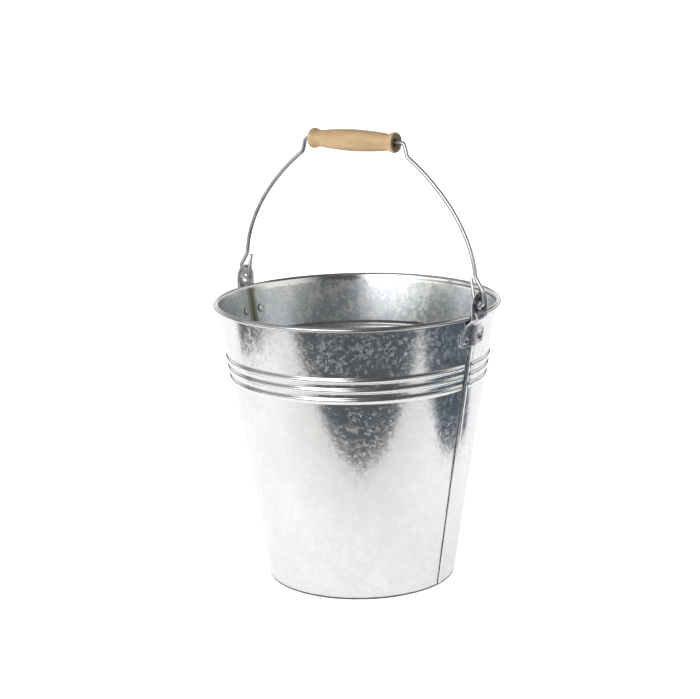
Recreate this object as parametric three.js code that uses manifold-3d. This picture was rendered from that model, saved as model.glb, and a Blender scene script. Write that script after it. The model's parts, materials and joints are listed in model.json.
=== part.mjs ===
// Florist bucket: a galvanised steel pail with riveted ears, a wire bail and a wooden grip.
// Millimetres, +Z up. The origin is the centre of the foot on the floor. The bail hinges
// about a line along X, so the ears and the two side seams are at +X and -X.
// The body is two half panels that meet at the seams, front (-Y) and back (+Y).

import * as THREE from 'three';
import { mergeVertices } from 'three/addons/utils/BufferGeometryUtils.js';
import Module from 'manifold-3d';

// Body
const RIM_HEIGHT = 296;
const RIM_RADIUS = 150;
const FOOT_RADIUS = 99.3;
const SHEET = 0.6;
const GAP = 0.3;
const SEGMENTS = 60;

// Half the size of the blocks that cut whole sections into halves and strips
const BEYOND = 400;

// Rolled rim and the wire inside it
const BEAD_RADIUS = 2.6;
const RIM_WIRE_RADIUS = BEAD_RADIUS - SHEET - GAP;
const BEAD_CENTRE_RADIUS = RIM_RADIUS - BEAD_RADIUS;
const BEAD_CENTRE_HEIGHT = RIM_HEIGHT - BEAD_RADIUS;
const CURL_ANGLES = [180, 135, 90, 45, 0, -45, -90, -125];

// The wall is a straight cone that runs into the inner side of the bead
const WALL_TOP_RADIUS = BEAD_CENTRE_RADIUS - BEAD_RADIUS + SHEET;
const WALL_SLOPE = (WALL_TOP_RADIUS - FOOT_RADIUS) / BEAD_CENTRE_HEIGHT;
const WALL_TILT = Math.atan(WALL_SLOPE);

// Three ribs swaged outwards, which stop short of the middle of each seam
const RIB_HEIGHTS = [219.4, 229.8, 240.2];
const RIB_HALF_WIDTH = 3.6;
const RIB_RISE = 1.7;
const RIB_STOP = 5.5;

// Lock seams
const SEAM_HALF_WIDTH = 3.8;
const SEAM_RISE = 1.3;
const SEAM_BOTTOM = 1.5;
const SEAM_TOP = 287;

// Bottom
const HEM_WIDTH = 2.8;
const FLOOR_HEIGHT = 6;
const FLOOR_REST_RADIUS = 95;
const SEALANT = 0.6;
const SEALANT_HALF_WIDTH = 6.5;
const SEALANT_TOP = 286;
const FILLET_SEALANT = 2.4;

// Ears
const EAR_SHEET = 1.2;
const EAR_CURVE_STEPS = 8;
const EAR_BOTTOM = RIM_HEIGHT - 34;
const WING_TOP = RIM_HEIGHT - 23;
const WAIST_HEIGHT = RIM_HEIGHT - 10;
const WING_HALF_WIDTH = 22.5;
const WING_CORNER = 7;
const EAR_HALF_WIDTH = 14;
const EAR_ARCH_HEIGHT = RIM_HEIGHT + 8.5;
const EAR_STEP_LOW = RIM_HEIGHT - 9.5;
const EAR_STEP_HIGH = RIM_HEIGHT - 4.5;
const EYE_RADIUS = 3.9;
const EYE_HEIGHT = RIM_HEIGHT + 7.8;
const EYE_RING_HEIGHT = RIM_HEIGHT + 10;
const EYE_RING_RADIUS = 10.4;
const EYE_RING_RISE = 0.8;
const EYE_SIDES = 24;
const CHANNEL_HALF_WIDTH = 6;

// Rivets
const RIVET_OFFSET = 12.5;
const RIVET_HEIGHT = 269;
const RIVET_HEAD_RADIUS = 4.25;
const RIVET_HEAD_RISE = 1.8;
const RIVET_COLLAR_RADIUS = 3.8;
const RIVET_COLLAR_RISE = 1.2;
const RIVET_SHANK_RADIUS = 2.5;
const RIVET_RECESS_RADIUS = 1.9;
const RIVET_RECESS_DEPTH = 1.7;
const RIVET_SIDES = 12;
const DRILL_REACH = 5;

// Bail and grip
const BAIL_WIRE_RADIUS = 2.1;
const BAIL_PIVOT_HEIGHT = RIM_HEIGHT + 8;
const GRIP_HEIGHT = 461;
const GRIP_HALF_LENGTH = 53;
const GRIP_BORE_RADIUS = 3.9;
const GRIP_MOUTH_RADIUS = 6.5;
const GRIP_MOUTH_DEPTH = 3;
const GRIP_SIDES = 24;
const WIRE_SIDES = 8;

const outerWall = (z) => FOOT_RADIUS + WALL_SLOPE * z;

// Places along the ribs' section, as fractions of a rib's half width, and the rise there
const RIB_STATIONS = [-1, 0, 1];
const ribRise = (t) => RIB_RISE * Math.cos(t * Math.PI / 2) ** 2;

const wasm = await Module();
wasm.setup();

// Shares the corners that faces have in common, and leaves out faces of no area, which a
// section makes where it touches the axis that it is turned about.
function weld(geometry) {
  const bare = geometry.clone();
  bare.deleteAttribute('normal');
  bare.deleteAttribute('uv');
  const merged = mergeVertices(bare, 1e-4);
  const index = merged.index.array;
  const kept = [];
  for (let i = 0; i < index.length; i += 3) {
    const [a, b, c] = [index[i], index[i + 1], index[i + 2]];
    if (a !== b && b !== c && c !== a) {
      kept.push(a, b, c);
    }
  }
  merged.setIndex(kept);
  return merged;
}

function toSolid(geometry) {
  const welded = weld(geometry);
  return new wasm.Manifold(new wasm.Mesh({
    numProp: 3,
    vertProperties: new Float32Array(welded.attributes.position.array),
    triVerts: new Uint32Array(welded.index.array),
  }));
}

function toGeometry(solid) {
  const mesh = solid.getMesh();
  const geometry = new THREE.BufferGeometry();
  geometry.setAttribute('position', new THREE.BufferAttribute(mesh.vertProperties, 3));
  geometry.setIndex(new THREE.BufferAttribute(mesh.triVerts, 1));
  geometry.computeVertexNormals();
  return geometry;
}

// Turns a closed section of [radius, height] points about Z. The points run
// anticlockwise: up the outside and down the inside.
function turned(section, segments = SEGMENTS) {
  const points = [...section, section[0]].map(([r, z]) => new THREE.Vector2(r, z));
  return new THREE.LatheGeometry(points, segments).rotateX(Math.PI / 2);
}

// Turns a section that starts and ends on the Z axis.
function turnedOnAxis(section, segments) {
  const points = section.map(([r, z]) => new THREE.Vector2(r, z));
  return weld(new THREE.LatheGeometry(points, segments).rotateX(Math.PI / 2));
}

function block(x0, x1, y0, y1, z0, z1) {
  const box = new THREE.BoxGeometry(x1 - x0, y1 - y0, z1 - z0);
  return toSolid(box.translate((x0 + x1) / 2, (y0 + y1) / 2, (z0 + z1) / 2));
}

// Points up the wall from z0 to z1 at a given offset from its outer face.
function wallLine(z0, z1, offset, ribs = []) {
  const line = [[outerWall(z0) + offset, z0]];
  for (const centre of ribs) {
    for (const t of RIB_STATIONS) {
      const z = centre + t * RIB_HALF_WIDTH;
      line.push([outerWall(z) + offset + ribRise(t), z]);
    }
  }
  line.push([outerWall(z1) + offset, z1]);
  return line;
}

// An arc of the rolled rim, from the wall over the top and down outside.
function curlArc(radius) {
  return CURL_ANGLES.map(THREE.MathUtils.degToRad).map((angle) => [
    BEAD_CENTRE_RADIUS + radius * Math.cos(angle),
    BEAD_CENTRE_HEIGHT + radius * Math.sin(angle),
  ]);
}

// The whole wall: foot hem, cone with any ribs, and the curl of the rim.
function wall(ribs) {
  const outside = wallLine(0, BEAD_CENTRE_HEIGHT - BEAD_RADIUS, 0, ribs);
  const inside = wallLine(SHEET, BEAD_CENTRE_HEIGHT - BEAD_RADIUS, -SHEET, ribs);
  return toSolid(turned([
    [FOOT_RADIUS - HEM_WIDTH, 0],
    ...outside,
    ...curlArc(BEAD_RADIUS - SHEET),
    ...curlArc(BEAD_RADIUS).reverse(),
    ...inside.reverse(),
    [FOOT_RADIUS - HEM_WIDTH, SHEET],
  ]));
}

// A strip of the lock seam at +X, standing between two offsets off the wall.
function seamStrip(inner, outer, y0, y1) {
  const section = [
    ...wallLine(SEAM_BOTTOM, SEAM_TOP, outer),
    ...wallLine(SEAM_BOTTOM, SEAM_TOP, inner).reverse(),
  ];
  return toSolid(turned(section)).intersect(block(0, BEYOND, y0, y1, 0, BEYOND));
}

// The angle round the body at which a rivet sits, and its outward direction.
const rivetAngle = Math.asin(RIVET_OFFSET / outerWall(RIVET_HEIGHT));

function rivetSeat(side) {
  const angle = side * rivetAngle;
  const radius = outerWall(RIVET_HEIGHT);
  return {
    position: new THREE.Vector3(radius * Math.cos(angle), radius * Math.sin(angle), RIVET_HEIGHT),
    direction: new THREE.Vector3(
      Math.cos(WALL_TILT) * Math.cos(angle),
      Math.cos(WALL_TILT) * Math.sin(angle),
      -Math.sin(WALL_TILT),
    ),
  };
}

function rivetHole(side) {
  const seat = rivetSeat(side);
  const radius = RIVET_SHANK_RADIUS + GAP;
  const drill = turnedOnAxis(
    [[0, -DRILL_REACH], [radius, -DRILL_REACH], [radius, DRILL_REACH], [0, DRILL_REACH]],
    RIVET_SIDES,
  );
  const turn = new THREE.Quaternion().setFromUnitVectors(new THREE.Vector3(0, 0, 1), seat.direction);
  drill.applyQuaternion(turn).translate(seat.position.x, seat.position.y, seat.position.z);
  return toSolid(drill);
}

// The back panel. Its edges meet the front panel's on the plane y = 0. At +X its seam strip
// laps over the other panel's edge, and at -X the other panel's strip laps over its own.
function backPanel() {
  const backHalf = block(-BEYOND, BEYOND, GAP / 2, BEYOND, -BEYOND, BEYOND);
  const seamZone = block(-BEYOND, BEYOND, -RIB_STOP, RIB_STOP, -BEYOND, BEYOND);
  const besideSeams = wall(RIB_HEIGHTS).subtract(seamZone);
  const atSeams = wall([]).intersect(seamZone);
  const half = besideSeams.add(atSeams).intersect(backHalf);
  const fixedStrip = seamStrip(-SHEET / 2, SEAM_RISE, GAP / 2, SEAM_HALF_WIDTH);
  const lappedStrip = seamStrip(GAP, SEAM_RISE, -SEAM_HALF_WIDTH, SEAM_HALF_WIDTH);
  const strips = fixedStrip.add(lappedStrip);
  const holeAtPlusX = rivetHole(1);
  const holeAtMinusX = rivetHole(-1).rotate([0, 0, 180]);
  return toGeometry(half.add(strips).subtract(holeAtPlusX).subtract(holeAtMinusX));
}

// A pan whose turned-down flange stands on the foot hem inside the wall. The flat that
// things stand on ends short of the sealer in the corner.
function bottomDisc() {
  const flange = (z) => outerWall(z) - SHEET - GAP;
  const flangeFoot = SHEET + GAP;
  return turnedOnAxis([
    [0, FLOOR_HEIGHT],
    [flange(FLOOR_HEIGHT) - SHEET, FLOOR_HEIGHT],
    [flange(flangeFoot) - SHEET, flangeFoot],
    [flange(flangeFoot), flangeFoot],
    [flange(FLOOR_HEIGHT), FLOOR_HEIGHT],
    [flange(FLOOR_HEIGHT) - SHEET, FLOOR_HEIGHT + SHEET],
    [FLOOR_REST_RADIUS, FLOOR_HEIGHT + SHEET],
    [0, FLOOR_HEIGHT + SHEET],
  ], SEGMENTS);
}

function rimWire() {
  const section = [];
  for (let side = 0; side < WIRE_SIDES; side += 1) {
    const angle = 2 * Math.PI * side / WIRE_SIDES;
    section.push([
      BEAD_CENTRE_RADIUS + RIM_WIRE_RADIUS * Math.cos(angle),
      BEAD_CENTRE_HEIGHT + RIM_WIRE_RADIUS * Math.sin(angle),
    ]);
  }
  return turned(section);
}

// The strip of sealer along the inside of the seam at +X.
function seamSealant() {
  const bottom = FLOOR_HEIGHT + SHEET + FILLET_SEALANT + 3 * GAP;
  const face = (z) => outerWall(z) - SHEET - GAP;
  const strip = toSolid(turned([
    [face(bottom), bottom],
    [face(SEALANT_TOP), SEALANT_TOP],
    [face(SEALANT_TOP) - SEALANT, SEALANT_TOP],
    [face(bottom) - SEALANT, bottom],
  ]));
  return strip.intersect(block(0, BEYOND, -SEALANT_HALF_WIDTH, SEALANT_HALF_WIDTH, 0, BEYOND));
}

// The same sealer filling the corner between the floor and the wall.
function baseSealant() {
  const bottom = FLOOR_HEIGHT + SHEET + GAP;
  const face = (z) => outerWall(z) - SHEET - GAP;
  return turned([
    [face(bottom), bottom],
    [face(bottom + FILLET_SEALANT), bottom + FILLET_SEALANT],
    [face(bottom) - FILLET_SEALANT, bottom],
  ]);
}

// The ear seen from outside, as a Shape of (y, z) points.
function earOutline() {
  const shape = new THREE.Shape();
  shape.moveTo(-(WING_HALF_WIDTH - WING_CORNER), EAR_BOTTOM);
  shape.lineTo(WING_HALF_WIDTH - WING_CORNER, EAR_BOTTOM);
  shape.quadraticCurveTo(WING_HALF_WIDTH, EAR_BOTTOM, WING_HALF_WIDTH, EAR_BOTTOM + WING_CORNER);
  shape.lineTo(WING_HALF_WIDTH, WING_TOP);
  shape.bezierCurveTo(
    WING_HALF_WIDTH, WING_TOP + WING_CORNER,
    EAR_HALF_WIDTH, WING_TOP + WING_CORNER / 2,
    EAR_HALF_WIDTH, WAIST_HEIGHT,
  );
  shape.lineTo(EAR_HALF_WIDTH, EAR_ARCH_HEIGHT);
  shape.absarc(0, EAR_ARCH_HEIGHT, EAR_HALF_WIDTH, 0, Math.PI, false);
  shape.lineTo(-EAR_HALF_WIDTH, WAIST_HEIGHT);
  shape.bezierCurveTo(
    -EAR_HALF_WIDTH, WING_TOP + WING_CORNER / 2,
    -WING_HALF_WIDTH, WING_TOP + WING_CORNER,
    -WING_HALF_WIDTH, WING_TOP,
  );
  shape.lineTo(-WING_HALF_WIDTH, EAR_BOTTOM + WING_CORNER);
  shape.quadraticCurveTo(
    -WING_HALF_WIDTH, EAR_BOTTOM,
    -(WING_HALF_WIDTH - WING_CORNER), EAR_BOTTOM,
  );
  return shape;
}

// The ear's inner face is this far from the Z axis above the step that clears the bead.
const EAR_FACE_RADIUS = RIM_RADIUS + 2 * GAP;

// A sheet that follows the wall between two heights and two offsets.
function wallSheet(z0, z1, inner, outer) {
  return toSolid(turned([
    [outerWall(z0) + inner, z0],
    [outerWall(z0) + outer, z0],
    [outerWall(z1) + outer, z1],
    [outerWall(z1) + inner, z1],
  ]));
}

// The bent plate before it is cut to its outline: up the wall, out past the bead, and up.
function earBand() {
  const top = EAR_ARCH_HEIGHT + EAR_HALF_WIDTH;
  const outside = EAR_FACE_RADIUS + EAR_SHEET;
  return toSolid(turned([
    [outerWall(EAR_BOTTOM) + GAP, EAR_BOTTOM],
    [outerWall(EAR_BOTTOM) + GAP + EAR_SHEET, EAR_BOTTOM],
    [outerWall(EAR_STEP_LOW) + GAP + EAR_SHEET, EAR_STEP_LOW - EAR_SHEET / 2],
    [outside, EAR_STEP_HIGH - EAR_SHEET / 2],
    [outside, top],
    [EAR_FACE_RADIUS, top],
    [EAR_FACE_RADIUS, EAR_STEP_HIGH],
    [outerWall(EAR_STEP_LOW) + GAP, EAR_STEP_LOW],
  ]));
}

// A cylinder along X at the ear's eye.
function eyeCylinder(radius, x0, x1, height) {
  const rod = turnedOnAxis([[0, x0], [radius, x0], [radius, x1], [0, x1]], EYE_SIDES);
  return toSolid(rod.rotateY(Math.PI / 2).translate(0, 0, height));
}

// The ear at +X: two wings on the wall, a channel over the seam, and a ring round the eye.
function ear() {
  const outline = new THREE.ExtrudeGeometry(earOutline(), {
    depth: BEYOND, bevelEnabled: false, curveSegments: EAR_CURVE_STEPS,
  });
  const turn = new THREE.Matrix4().makeBasis(
    new THREE.Vector3(0, 1, 0), new THREE.Vector3(0, 0, 1), new THREE.Vector3(1, 0, 0),
  );
  outline.applyMatrix4(turn);
  const seamClear = SEAM_RISE + GAP;
  const slotHalfWidth = CHANNEL_HALF_WIDTH - EAR_SHEET;
  const channelTop = SEAM_TOP + GAP;
  const channel = wallSheet(EAR_BOTTOM, channelTop, GAP, seamClear + EAR_SHEET).intersect(
    block(0, BEYOND, -CHANNEL_HALF_WIDTH, CHANNEL_HALF_WIDTH, 0, BEYOND),
  );
  const slot = wallSheet(EAR_BOTTOM - 1, channelTop, -SHEET, seamClear).intersect(
    block(0, BEYOND, -slotHalfWidth, slotHalfWidth, 0, BEYOND),
  );
  const ringOutside = EAR_FACE_RADIUS + EAR_SHEET + EYE_RING_RISE;
  const ringInside = EAR_FACE_RADIUS + EAR_SHEET / 2;
  const ring = eyeCylinder(EYE_RING_RADIUS, ringInside, ringOutside, EYE_RING_HEIGHT);
  const plate = earBand().intersect(toSolid(outline));
  const stamped = plate.add(channel).add(ring).subtract(slot);
  const eye = eyeCylinder(EYE_RADIUS, 0, BEYOND, EYE_HEIGHT);
  return toGeometry(stamped.subtract(eye).subtract(rivetHole(1)).subtract(rivetHole(-1)));
}

// A semi-tubular rivet along Z: its low round head is inside the bucket, and its rolled
// collar with the open end is outside, on the ear's wing.
function rivet() {
  const headSeat = -(SHEET + GAP);
  const collarSeat = GAP + EAR_SHEET + GAP;
  const headTop = headSeat - RIVET_HEAD_RISE;
  const collarTop = collarSeat + RIVET_COLLAR_RISE;
  return turnedOnAxis([
    [0, headTop],
    [RIVET_HEAD_RADIUS * 0.6, headTop + RIVET_HEAD_RISE * 0.25],
    [RIVET_HEAD_RADIUS, headSeat - RIVET_HEAD_RISE * 0.25],
    [RIVET_HEAD_RADIUS, headSeat],
    [RIVET_SHANK_RADIUS, headSeat],
    [RIVET_SHANK_RADIUS, collarSeat],
    [RIVET_COLLAR_RADIUS, collarSeat],
    [RIVET_COLLAR_RADIUS, collarSeat + RIVET_COLLAR_RISE / 2],
    [(RIVET_COLLAR_RADIUS + RIVET_RECESS_RADIUS) / 2, collarTop],
    [RIVET_RECESS_RADIUS, collarTop - RIVET_COLLAR_RISE / 4],
    [RIVET_RECESS_RADIUS, collarTop - RIVET_RECESS_DEPTH],
    [0, collarTop - RIVET_RECESS_DEPTH],
  ], RIVET_SIDES);
}

// Half of the bail from the middle of the grip to the free end of the hook, as (x, z)
// corners with bend radii, and one long arch between the grip's bend and the ear's.
const WIRE_RISE_TO_GRIP = [
  { x: 0, z: GRIP_HEIGHT, bend: 0 },
  { x: 62.4, z: GRIP_HEIGHT, bend: 4.5 },
  { x: 66.2, z: GRIP_HEIGHT - 14, bend: 4.5 },
];
const ARCH = new THREE.CubicBezierCurve(
  new THREE.Vector2(69.5, GRIP_HEIGHT - 16.4),
  new THREE.Vector2(103.4, GRIP_HEIGHT - 40.2),
  new THREE.Vector2(140.6, GRIP_HEIGHT - 80),
  new THREE.Vector2(146.1, BAIL_PIVOT_HEIGHT + 31),
);
const ARCH_STEPS = 24;
const WIRE_HOOK = [
  { x: 146.9, z: BAIL_PIVOT_HEIGHT + 27, bend: 5 },
  { x: 155.4, z: BAIL_PIVOT_HEIGHT + 14.5, bend: 6 },
  { x: 155.4, z: BAIL_PIVOT_HEIGHT, bend: 4.2 },
  { x: 145.9, z: BAIL_PIVOT_HEIGHT, bend: 4.2 },
  { x: 141.5, z: BAIL_PIVOT_HEIGHT + 26.5, bend: 0 },
];
const BEND_STEPS = 4;

// Replaces each corner between two straights by an arc of its bend radius.
function roundCorners(corners) {
  const points = [];
  corners.forEach((corner, i) => {
    const here = new THREE.Vector2(corner.x, corner.z);
    if (corner.bend === 0) {
      points.push(here);
      return;
    }
    const before = new THREE.Vector2(corners[i - 1].x, corners[i - 1].z).sub(here).normalize();
    const after = new THREE.Vector2(corners[i + 1].x, corners[i + 1].z).sub(here).normalize();
    const halfAngle = Math.acos(before.dot(after)) / 2;
    const towardsCentre = before.clone().add(after).normalize();
    const centre = here.clone().addScaledVector(towardsCentre, corner.bend / Math.sin(halfAngle));
    const reach = corner.bend / Math.tan(halfAngle);
    const start = here.clone().addScaledVector(before, reach).sub(centre);
    const turn = Math.PI - 2 * halfAngle;
    const sense = Math.sign(before.cross(after)) * -1;
    for (let step = 0; step <= BEND_STEPS; step += 1) {
      points.push(start.clone().rotateAround(new THREE.Vector2(), sense * turn * step / BEND_STEPS)
        .add(centre));
    }
  });
  return points;
}

// The wire's centre line from the free end at -X to the free end at +X.
function bailLine() {
  const archStart = ARCH.getPoint(0);
  const archEnd = ARCH.getPoint(1);
  const rise = roundCorners([...WIRE_RISE_TO_GRIP, { x: archStart.x, z: archStart.y, bend: 0 }]);
  const hook = roundCorners([{ x: archEnd.x, z: archEnd.y, bend: 0 }, ...WIRE_HOOK]);
  const half = [...rise, ...ARCH.getPoints(ARCH_STEPS).slice(1, -1), ...hook];
  const mirrored = half.slice(1).map((p) => new THREE.Vector2(-p.x, p.y)).reverse();
  return [...mirrored, ...half].map((p) => new THREE.Vector3(p.x, 0, p.y));
}

// A path with one sweep step at each of its points, so that bends get short steps.
class PointPath extends THREE.Curve {
  constructor(points) {
    super();
    this.points = points;
  }

  getPointAt(u) {
    const place = u * (this.points.length - 1);
    const low = Math.min(Math.floor(place + 1e-9), this.points.length - 2);
    return this.points[low].clone().lerp(this.points[low + 1], place - low);
  }

  getTangentAt(u) {
    const last = this.points.length - 1;
    const here = Math.round(u * last);
    const after = this.points[Math.min(here + 1, last)];
    const before = this.points[Math.max(here - 1, 0)];
    return after.clone().sub(before).normalize();
  }
}

function bailWire() {
  const path = new PointPath(bailLine());
  const section = new THREE.Shape();
  for (let side = 0; side < WIRE_SIDES; side += 1) {
    const angle = 2 * Math.PI * side / WIRE_SIDES;
    const [x, y] = [BAIL_WIRE_RADIUS * Math.cos(angle), BAIL_WIRE_RADIUS * Math.sin(angle)];
    if (side === 0) {
      section.moveTo(x, y);
    } else {
      section.lineTo(x, y);
    }
  }
  return new THREE.ExtrudeGeometry(section, {
    steps: path.points.length - 1, bevelEnabled: false, extrudePath: path,
  });
}

// The grip's outline from the bore at one end to the belly, as [radius, x].
const GRIP_END = [
  [GRIP_BORE_RADIUS, GRIP_HALF_LENGTH - GRIP_MOUTH_DEPTH],
  [GRIP_MOUTH_RADIUS, GRIP_HALF_LENGTH],
  [9.6, GRIP_HALF_LENGTH],
  [10.5, GRIP_HALF_LENGTH - 1],
  [10.5, GRIP_HALF_LENGTH - 4.5],
  [8.7, GRIP_HALF_LENGTH - 7.5],
  [8.7, GRIP_HALF_LENGTH - 11],
  [10.2, GRIP_HALF_LENGTH - 15],
  [11.1, GRIP_HALF_LENGTH - 32],
];
const GRIP_BELLY_RADIUS = 11.35;

// The turned grip: end flanges, necks and a bellied barrel, bored through along X.
function grip() {
  const section = [
    ...GRIP_END.map(([r, x]) => [r, -x]),
    [GRIP_BELLY_RADIUS, 0],
    ...GRIP_END.slice().reverse(),
  ];
  return turned(section, GRIP_SIDES).rotateY(Math.PI / 2);
}

const ZINC = { color: 0xc9ccce, roughness: 0.38, metalness: 0.9 };
const STAMPED_ZINC = { color: 0x9d9aa0, roughness: 0.3, metalness: 0.9 };
const WIRE_ZINC = { color: 0xc4c6c8, roughness: 0.3, metalness: 0.9 };
const SEALER = { color: 0x8c8a4a, roughness: 0.6, metalness: 0 };
const BEECH = { color: 0xcfae80, roughness: 0.55, metalness: 0 };

function piece(name, geometry, finish) {
  const mesh = new THREE.Mesh(geometry, new THREE.MeshStandardMaterial(finish));
  mesh.name = name;
  return mesh;
}

// The same piece on the other side of the bucket, turned half round the Z axis.
function turnedRound(mesh) {
  mesh.rotation.z = Math.PI;
  return mesh;
}

function rivetPiece(name, side, finish) {
  const seat = rivetSeat(side);
  const mesh = piece(name, rivet(), finish);
  mesh.position.copy(seat.position);
  mesh.quaternion.setFromUnitVectors(new THREE.Vector3(0, 0, 1), seat.direction);
  return mesh;
}

const bucket = new THREE.Group();
bucket.add(piece('body_panel_back', backPanel(), ZINC));
bucket.add(turnedRound(piece('body_panel_front', backPanel(), ZINC)));
bucket.add(piece('bottom_disc', bottomDisc(), ZINC));
bucket.add(piece('rim_wire', rimWire(), WIRE_ZINC));
bucket.add(piece('base_sealant_ring', baseSealant(), SEALER));
bucket.add(piece('seam_sealant_right', toGeometry(seamSealant()), SEALER));
bucket.add(turnedRound(piece('seam_sealant_left', toGeometry(seamSealant()), SEALER)));

// Each ear goes with its two rivets, first at +X and then turned round to -X.
const rightFittings = new THREE.Group();
rightFittings.add(piece('ear_right', ear(), STAMPED_ZINC));
rightFittings.add(rivetPiece('rivet_right_front', -1, WIRE_ZINC));
rightFittings.add(rivetPiece('rivet_right_back', 1, WIRE_ZINC));
const leftFittings = new THREE.Group();
leftFittings.add(piece('ear_left', ear(), STAMPED_ZINC));
leftFittings.add(rivetPiece('rivet_left_front', 1, WIRE_ZINC));
leftFittings.add(rivetPiece('rivet_left_back', -1, WIRE_ZINC));
leftFittings.rotation.z = Math.PI;
bucket.add(rightFittings, leftFittings);

const handle = new THREE.Group();
handle.add(piece('bail_wire', bailWire(), WIRE_ZINC));
const gripPiece = piece('grip', grip(), BEECH);
gripPiece.position.z = GRIP_HEIGHT;
handle.add(gripPiece);
bucket.add(handle);

export default bucket;
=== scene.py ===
"""The florist bucket's looks: galvanised sheet, stamped ears, a wire bail and a beech grip.

Meshes are worked out in millimetres and stored in metres, in the CAD model's own frame: the
origin is the centre of the foot, +Z is up, and the bail's hinge line is along X.
"""

import json
import math

import bmesh
import bpy
import numpy as np
from mathutils import Matrix, Vector
from mathutils.geometry import delaunay_2d_cdt


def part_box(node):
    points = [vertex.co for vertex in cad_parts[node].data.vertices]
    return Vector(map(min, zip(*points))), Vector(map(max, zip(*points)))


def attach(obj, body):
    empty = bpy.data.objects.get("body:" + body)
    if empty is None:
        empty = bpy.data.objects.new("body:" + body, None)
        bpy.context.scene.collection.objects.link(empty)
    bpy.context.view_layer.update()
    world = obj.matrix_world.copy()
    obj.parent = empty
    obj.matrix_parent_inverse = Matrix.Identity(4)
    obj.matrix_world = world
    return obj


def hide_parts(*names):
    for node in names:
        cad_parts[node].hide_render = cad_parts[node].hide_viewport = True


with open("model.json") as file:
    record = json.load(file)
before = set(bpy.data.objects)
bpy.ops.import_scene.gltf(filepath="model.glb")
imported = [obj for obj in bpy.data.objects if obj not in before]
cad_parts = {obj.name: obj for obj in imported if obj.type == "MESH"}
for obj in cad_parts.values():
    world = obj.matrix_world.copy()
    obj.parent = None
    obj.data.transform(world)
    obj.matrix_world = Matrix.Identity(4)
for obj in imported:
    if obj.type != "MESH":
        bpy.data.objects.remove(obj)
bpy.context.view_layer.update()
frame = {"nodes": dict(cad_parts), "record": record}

MM = 0.001


# -------- sizes, in millimetres

def high_corner(node):
    """The highest corner of a CAD node's box, in millimetres."""
    return [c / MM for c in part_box(node)[1]]


def joint_height(name):
    """How high a joint's axis lies, in millimetres."""
    joint = next(j for j in frame["record"]["behaviour"]["joints"] if j["name"] == name)
    return joint["pos_m"][2] / MM


_, RIM_RADIUS, RIM_HEIGHT = high_corner("body_panel_back")
PIVOT_HEIGHT = joint_height("bail_swing")
GRIP_HEIGHT = joint_height("grip_spin")
GRIP_HALF_LENGTH, GRIP_RADIUS, _ = high_corner("grip")
BAIL_REACH = high_corner("bail_wire")[0]

# The wall: GAP stands in for tight contact, and the bead is the rolled rim.
SHEET = 0.6
GAP = 0.3
BEAD_RADIUS = 2.6
BEAD_RING = RIM_RADIUS - BEAD_RADIUS
BEAD_HEIGHT = RIM_HEIGHT - BEAD_RADIUS
BEAD_CURL_END = math.radians(-125)
FOOT_RADIUS = 99.3
WALL_TOP = 289.0
WALL_SLOPE = (BEAD_RING - BEAD_RADIUS + SHEET - FOOT_RADIUS) / BEAD_HEIGHT
WALL_TILT = math.atan(WALL_SLOPE)

# The three swaged ribs, which fade out beside each seam over RIB_FADE.
RIB_HEIGHTS = (219.4, 229.8, 240.2)
RIB_HALF_WIDTH = 3.6
RIB_RISE = 1.7
RIB_FADE = (4.6, 8.0)
RIBBED_BAND = (213.0, 247.0)

# The lapped side seam: how far it stands out, where it starts and ends, and how softly.
SEAM_RISE = 1.8
SEAM_SPAN = (2.0, 285.5)
SEAM_BLEND = 2.0

HEM_WIDTH = 2.8
HEM_BEND = 0.9
FLOOR_HEIGHT = 6.0

# An ear: two wings on the wall, a waist at the rim, and a raised ring round the eye.
EAR_SHEET = 1.2
EAR_BOTTOM = RIM_HEIGHT - 34
EAR_TOP = high_corner("ear_right")[2]
EAR_HALF_WIDTH = 14.0
EAR_WING_REACH = 22.5
EAR_WING_TOP = RIM_HEIGHT - 23
EAR_WAIST = RIM_HEIGHT - 10
CHANNEL_HALF_WIDTH = 3.9
EYE_HEIGHT = RIM_HEIGHT + 7.8
EYE_RADIUS = 3.9
RING_HEIGHT = RIM_HEIGHT + 10
RING_RADIUS = 9.9
RIVET_OFFSET = 12.5
RIVET_HEIGHT = 269.0
WIRE_RADIUS = 2.1


def wall_radius(z):
    """The outer face of the cone at height z."""
    return FOOT_RADIUS + WALL_SLOPE * z


def smoothstep(low, high, value):
    """0 below low, 1 above high, and a smooth rise between."""
    t = np.clip((np.asarray(value, float) - low) / (high - low), 0, 1)
    return t * t * (3 - 2 * t)


# Long, shallow waves of the sheet: (height, waves in a turn, pitch up the wall, phase).
WAVES = ((0.070, 2, 41, 0.4), (0.060, 3, -67, 1.9), (0.045, 5, 33, 2.6),
         (0.035, 8, -24, 0.9), (0.022, 13, 19, 4.1), (0.015, 21, -15, 5.2))


def sheet_wobble(angle, z):
    """How far formed sheet strays from a true cone. It is stiffer at the foot and the rim."""
    total = 0
    for height, turns, pitch, phase in WAVES:
        total = total + height * np.sin(turns * angle + z / pitch + phase)
    return total * smoothstep(2, 40, z) * (1 - 0.7 * smoothstep(270, 292, z))


# -------- mesh helpers

def grid_faces(rows, columns, start=0, closed=False):
    """Quads of a grid of points stored row by row. closed joins the last column to the first."""
    faces = []
    for r in range(rows - 1):
        for c in range(columns if closed else columns - 1):
            d = (c + 1) % columns
            a = start + r * columns
            b = a + columns
            faces.append((a + c, a + d, b + d, b + c))
    return faces


def ring_faces(rings, steps, closed=False):
    """Faces over rings of points. The last ring joins the first, or a face closes each end."""
    faces = grid_faces(rings, steps, closed=True)
    last = (rings - 1) * steps
    if not closed:
        return faces + [tuple(range(steps)), tuple(range(last, last + steps))]
    for c in range(steps):
        d = (c + 1) % steps
        faces.append((last + c, last + d, d, c))
    return faces


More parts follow.
